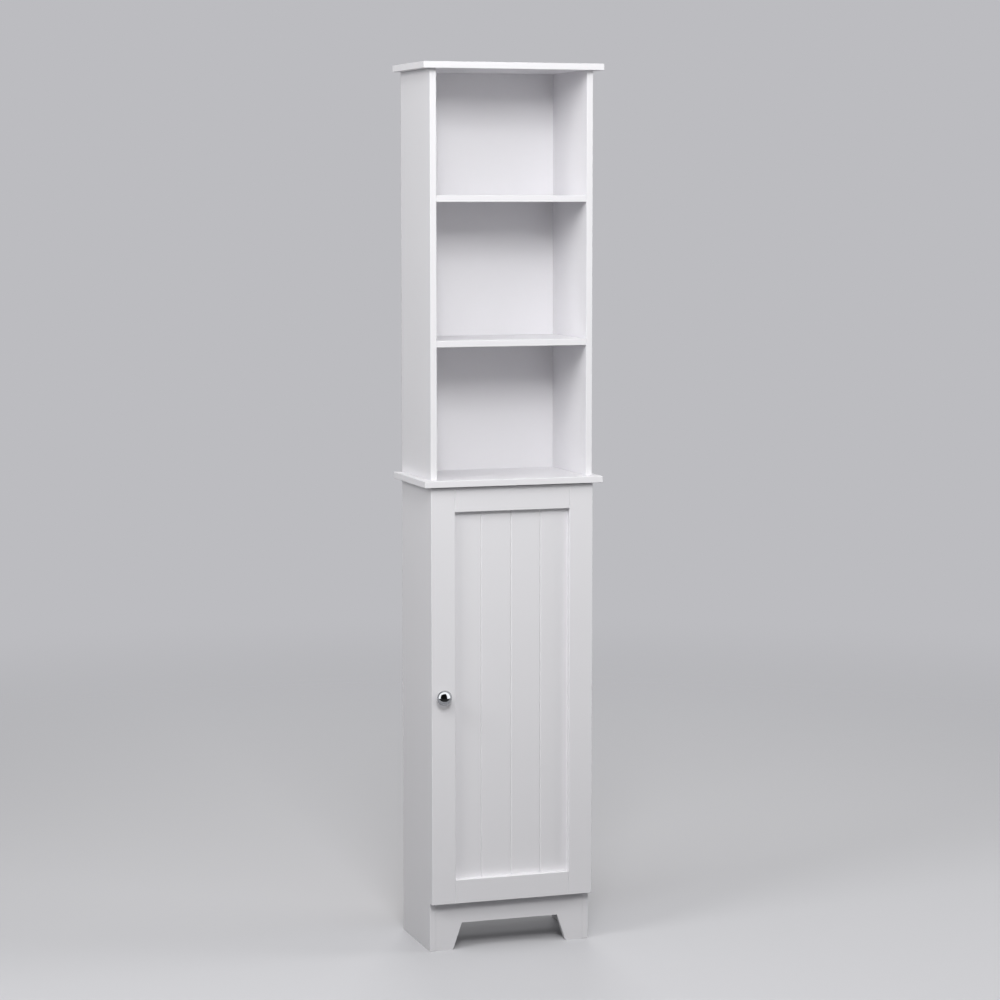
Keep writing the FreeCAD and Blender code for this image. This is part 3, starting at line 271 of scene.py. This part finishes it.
# boards whose banding isn't that of their slot: the top and waist boards get the whiter band,
# partly a painted highlight, on their ends too, the apron on no face, and the lower sides on no
# edge, as their front edges lie in shade
BOARD_FINISHES = {"top_board": "capping_board", "waist_board": "capping_board",
                  "apron": "plain_board", "lower_side_left": "plain_board",
                  "lower_side_right": "plain_board"}

for node, slot in slots.items():
    worn = nodes[node].data.materials
    worn.clear()
    worn.append(FINISHES[BOARD_FINISHES.get(node, slot)])


# Nails and driven screws ------------------------------------------------------

NAIL_RADIUS, NAIL_HEIGHT = 1.9 * MM, 0.45 * MM
# the top of a nail's head against its foot
NAIL_TAPER = 0.8
NAIL_FROM_EDGE = 6.0 * MM
# nails up each side of a back panel, and the thirds of its width where two more stand
NAIL_ROWS, NAIL_THIRDS = 6, (1, 2)

# vertices nearer than this are one
WELD = 0.001 * MM
# A cross recess is two blades at right angles. A blade's size is a share of its head's width, its
# thickness and its height are shares of its size, and its square ends have these corner radii.
SCREW_CROSS, CAM_CROSS = 0.62, 0.45
BLADE_THICKNESS, BLADE_HEIGHT = 0.27, 0.84
BLADE_TIP, BLADE_TOP = 0.35, 0.75
# edges sharper than this aren't shaded smooth
SHARP = math.radians(30)

REAR, LEFT, RIGHT = (0, 1, 0), (-1, 0, 0), (1, 0, 0)
# node, the piece that stands for it, body, the way its heads face, size of the cross
DRIVEN = (
    ("cup_screws", "cup_screw_set", "door", REAR, SCREW_CROSS),
    ("strike_screws", "strike_screw_set", "door", REAR, SCREW_CROSS),
    ("knob_screw", "knob_fixing", "door", REAR, SCREW_CROSS),
    ("plate_screws", "plate_screw_set", "cabinet", LEFT, SCREW_CROSS),
    ("arm_screws", "arm_screw_set", "cabinet", LEFT, SCREW_CROSS),
    ("catch_screws", "catch_screw_set", "cabinet", RIGHT, SCREW_CROSS),
    ("restraint_screws", "restraint_screw_set", "cabinet", REAR, SCREW_CROSS),
    ("cam_discs", "cam_disc_set", "cabinet", None, CAM_CROSS),
)


def piece(name, mesh, slot, body):
    """Makes a mesh a piece in its slot's finish, riding on a body."""
    mesh.materials.clear()
    mesh.materials.append(FINISHES[slot])
    made = add_object(name, mesh)
    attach(made, body)
    return made


def nail_heads():
    """Flat round nail heads along the edges of both back panels."""
    shape = bmesh.new()
    backward = Matrix.Rotation(math.radians(-90), 4, "X")
    for node in ("upper_back_panel", "lower_back_panel"):
        low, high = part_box(node)
        left, right = low.x + NAIL_FROM_EDGE, high.x - NAIL_FROM_EDGE
        bottom, top = low.z + NAIL_FROM_EDGE, high.z - NAIL_FROM_EDGE
        spots = []
        for i in range(NAIL_ROWS):
            z = bottom + (top - bottom) * i / (NAIL_ROWS - 1)
            spots += [(left, z), (right, z)]
        for i in NAIL_THIRDS:
            x = low.x + (high.x - low.x) * i / 3
            spots += [(x, bottom), (x, top)]
        for x, z in spots:
            stand = Matrix.Translation((x, high.y + NAIL_HEIGHT / 2, z)) @ backward
            bmesh.ops.create_cone(shape, cap_ends=True, segments=14, radius1=NAIL_RADIUS,
                                  radius2=NAIL_RADIUS * NAIL_TAPER, depth=NAIL_HEIGHT,
                                  matrix=stand)
    piece("panel_nails", to_mesh(shape, "panel_nails"), "fastener_steel", "cabinet")


def welded(node):
    """A bmesh of a node in which the faces of each solid share their vertices."""
    shape = bmesh.new()
    shape.from_mesh(nodes[node].data)
    bmesh.ops.remove_doubles(shape, verts=shape.verts, dist=WELD)
    return shape


def solids(node):
    """The lowest and highest corners of each separate solid of a node."""
    shape = welded(node)
    for vert in shape.verts:
        vert.tag = False
    found = []
    for first in shape.verts:
        if first.tag:
            continue
        first.tag, waiting, spots = True, [first], []
        while waiting:
            vert = waiting.pop()
            spots.append(vert.co.copy())
            for edge in vert.link_edges:
                other = edge.other_vert(vert)
                if not other.tag:
                    other.tag = True
                    waiting.append(other)
        found.append([Vector(least_or_most(c[i] for c in spots) for i in range(3))
                      for least_or_most in (min, max)])
    shape.free()
    return found


def cam_face(low, high):
    """The way a cam disc faces: down out of a shelf, or into the cupboard out of its side."""
    if high.z - low.z < high.x - low.x:
        return Vector((0, 0, -1))
    return Vector((-1 if low.x > 0 else 1, 0, 0))


def cross_cutter(node, out, cross):
    """The blades that cut a cross recess into each head of a node.

    Each pair stands in the middle of its head's face, half above it. Heads face the way out, or
    as cam discs do where it is None.
    """
    shape = bmesh.new()
    squared = Matrix.Rotation(math.radians(45), 4, "Z")
    for low, high in solids(node):
        way = Vector(out) if out else cam_face(low, high)
        turn = way.to_track_quat("Z", "Y").to_matrix().to_4x4()
        width = min((high - low)[i] for i in range(3) if not way[i])
        face = Vector(high[i] if way[i] > 0 else low[i] if way[i] < 0 else (low[i] + high[i]) / 2
                      for i in range(3))
        size = cross * width
        blade = Matrix.Diagonal((size, BLADE_THICKNESS * size, BLADE_HEIGHT * size, 1.0))
        for angle in (0.0, math.radians(90)):
            stand = (Matrix.Translation(face) @ turn @ Matrix.Rotation(angle, 4, "Z")
                     @ blade @ squared)
            bmesh.ops.create_cone(shape, cap_ends=True, segments=4, radius1=BLADE_TIP,
                                  radius2=BLADE_TOP, depth=1.0, matrix=stand)
    return to_mesh(shape, "cross_cutter")


def driven(node, name, body, out, cross):
    """The screws or cams of a node again, with the cross recess that a driver fits."""
    plain = add_object("plain", to_mesh(welded(node), "plain"))
    cutter = add_object("cutter", cross_cutter(node, out, cross))
    recess = plain.modifiers.new("recess", "BOOLEAN")
    recess.object, recess.operation = cutter, "DIFFERENCE"
    recess.solver, recess.use_self = "EXACT", True
    cut = plain.evaluated_get(bpy.context.evaluated_depsgraph_get())
    mesh = bpy.data.meshes.new_from_object(cut)
    for used in (plain, cutter):
        bpy.data.objects.remove(used)
    mesh.name = name
    for face in mesh.polygons:
        face.use_smooth = True
    mesh.set_sharp_from_angle(angle=SHARP)
    made = piece(name, mesh, slots[node], body)
    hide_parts(node)


nail_heads()
for row in DRIVEN:
    driven(*row)


# Stage, light and camera ------------------------------------------------------

FLOOR_RADIUS = 6.0
# how far from the middle the floor starts and ends to fade into the surround
FADE_START, FADE_END = 0.9, 4.2
# the floor as it is seen, the floor in the light that it gives back, and the surround
FLOOR_SEEN, FLOOR_GIVEN, SURROUND = "#c9c9cc", "#58585b", "#bcbcc0"
WHITE = "#ffffff"
AMBIENT = 0.36
MIDDLE = (0.0, 0.0, 0.9)
# name, place, side length, watts
LAMPS = (
    ("key", (-0.75, -2.95, 2.7), 1.0, 55.0),
    ("top", (-1.0, -1.8, 3.0), 1.0, 12.0),
    ("left", (-2.5, -1.2, 2.4), 1.2, 34.0),
    ("right", (2.8, -0.8, 1.8), 1.2, 24.0),
    ("rear", (0.8, 2.8, 2.6), 1.2, 30.0),
)
# name, place, point it faces, width, height, level: painted reflections, the white cards standing
# for the lamps and the dark ones for dark surroundings in front of the cabinet
CARDS = (
    ("left_card", (-2.55, -0.75, 2.0), (0.0, 0.0, 2.0), 1.3, 3.6, 2.4),
    ("right_card", (2.1, -1.25, 2.0), (0.0, 0.0, 2.0), 2.4, 3.6, 2.4),
    ("top_card", (-0.1, -0.95, 3.6), (-0.1, -0.5, 0.9), 5.0, 1.7, 2.4),
    ("dark_card", (-0.7, -2.9, 2.9), (-0.1, 0.0, 2.9), 5.2, 5.8, 0.01),
    ("floor_card", (-0.8, -2.7, 0.01), (-0.8, -2.7, 1.0), 5.0, 4.4, 0.05),
)
# The camera's place, turn and lens come from a fit to the cabinet's edges in the photograph.
EYE = (-1.670, -5.044, 1.410)
YAW, PITCH = 18.36, 6.13
LENS, SENSOR = 102.1, 36.0
CLIP_END = 60.0


def stage_floor():
    """A pale floor that takes the cabinet's shadow and fades into the surround far away."""
    shape = bmesh.new()
    bmesh.ops.create_circle(shape, cap_ends=True, segments=96, radius=FLOOR_RADIUS)
    floor = add_object("floor", to_mesh(shape, "floor"))
    material, tree, place = new_material("studio_floor")
    given = add(tree, "BsdfDiffuse", {"Color": linear(FLOOR_GIVEN)})
    pale = add(tree, "BsdfDiffuse", {"Color": linear(FLOOR_SEEN)})
    ground = add(tree, "MixShader", links={0: (seen(tree), 0), 1: (given, 0), 2: (pale, 0)})
    out = add(tree, "VectorMath", links={0: (place, "Object")}, operation="LENGTH")
    fade = add(tree, "MapRange", {"From Min": FADE_START, "From Max": FADE_END},
               {"Value": (out, "Value")}, interpolation_type="SMOOTHSTEP")
    air = add(tree, "BsdfTransparent")
    shader = add(tree, "MixShader", links={0: (fade, 0), 1: (ground, 0), 2: (air, 0)})
    floor.data.materials.append(finish_material(material, shader))


def studio_world():
    """Even ambient light; the camera and metal see a pale grey surround."""
    world = bpy.data.worlds.new("studio")
    bpy.context.scene.world = world
    world.use_nodes = True
    tree = world.node_tree
    tree.nodes.clear()
    ambient = add(tree, "Background", {"Color": linear(WHITE), "Strength": AMBIENT})
    surround = add(tree, "Background", {"Color": linear(SURROUND), "Strength": 1.0})
    shader = add(tree, "MixShader", links={0: (seen(tree), 0), 1: (ambient, 0), 2: (surround, 0)})
    add(tree, "OutputWorld", links={"Surface": (shader, 0)})


def area_light(name, place, side, watts):
    """A square soft box turned towards the middle of the cabinet, which reflections don't see."""
    data = bpy.data.lights.new(name, "AREA")
    data.shape = "SQUARE"
    data.size, data.energy = side, watts
    lamp = add_object(name, data)
    lamp.location = place
    lamp.rotation_euler = turn_to(MIDDLE, place).to_euler()
    lamp.visible_glossy = False


def card(name, place, faced, width, height, level):
    """A flat card that only reflections see, white or black by its level."""
    shape = bmesh.new()
    bmesh.ops.create_grid(shape, x_segments=1, y_segments=1, size=0.5)
    turn = turn_to(faced, place).to_matrix().to_4x4()
    scale = Matrix.Diagonal((width, height, 1.0, 1.0))
    shape.transform(Matrix.Translation(place) @ turn @ scale)
    made = add_object(name, to_mesh(shape, name))
    material, tree, _ = new_material(name)
    glow = add(tree, "Emission", {"Color": linear(WHITE), "Strength": level})
    made.data.materials.append(finish_material(material, glow))
    made.visible_camera = made.visible_diffuse = made.visible_shadow = False
    made.visible_transmission = made.visible_volume_scatter = False


def camera():
    """The camera, near where the photograph was taken from."""
    data = bpy.data.cameras.new("camera")
    data.lens, data.sensor_width, data.clip_end = LENS, SENSOR, CLIP_END
    eye = add_object("camera", data)
    eye.location = EYE
    eye.rotation_euler = Euler((math.radians(90 - PITCH), 0.0, math.radians(-YAW)))
    bpy.context.scene.camera = eye


stage_floor()
studio_world()
for row in LAMPS:
    area_light(*row)
for row in CARDS:
    card(*row)
camera()
bpy.context.scene.view_settings.view_transform = "Standard"
